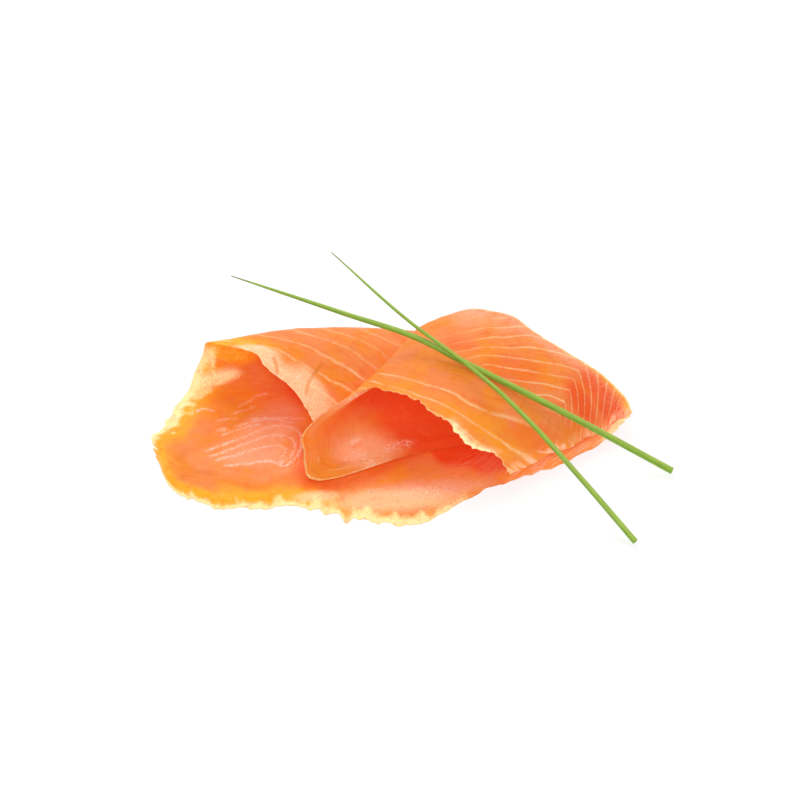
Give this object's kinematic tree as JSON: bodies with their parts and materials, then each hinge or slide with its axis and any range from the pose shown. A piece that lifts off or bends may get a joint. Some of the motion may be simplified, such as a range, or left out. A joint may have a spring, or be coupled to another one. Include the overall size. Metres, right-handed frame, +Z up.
{
  "type": "smoked salmon slices",
  "caption": "Folded slices of smoked salmon, one lying over the other with open folds facing the front, and thin chives laid across the top.",
  "frame": {"origin": "middle of the bounding box in plan, on the plane the lower slice lies on", "axes": "+X along the length, towards the chives' cut ends; +Y to the back, where the lower slice is folded; +Z up"},
  "size_m": [0.1578, 0.0867, 0.0456],
  "materials": {
    "smoked_fish": "moist translucent orange fish flesh with pale fat lines and golden edges, satin to glossy",
    "chive_green": "smooth fresh green blade with fine lengthwise veins, satin"
  },
  "bodies": {
    "root": {"lower_slice": "smoked_fish", "upper_slice": "smoked_fish", "long_chive": "chive_green", "slim_chive": "chive_green"}
  },
  "joints": []
}
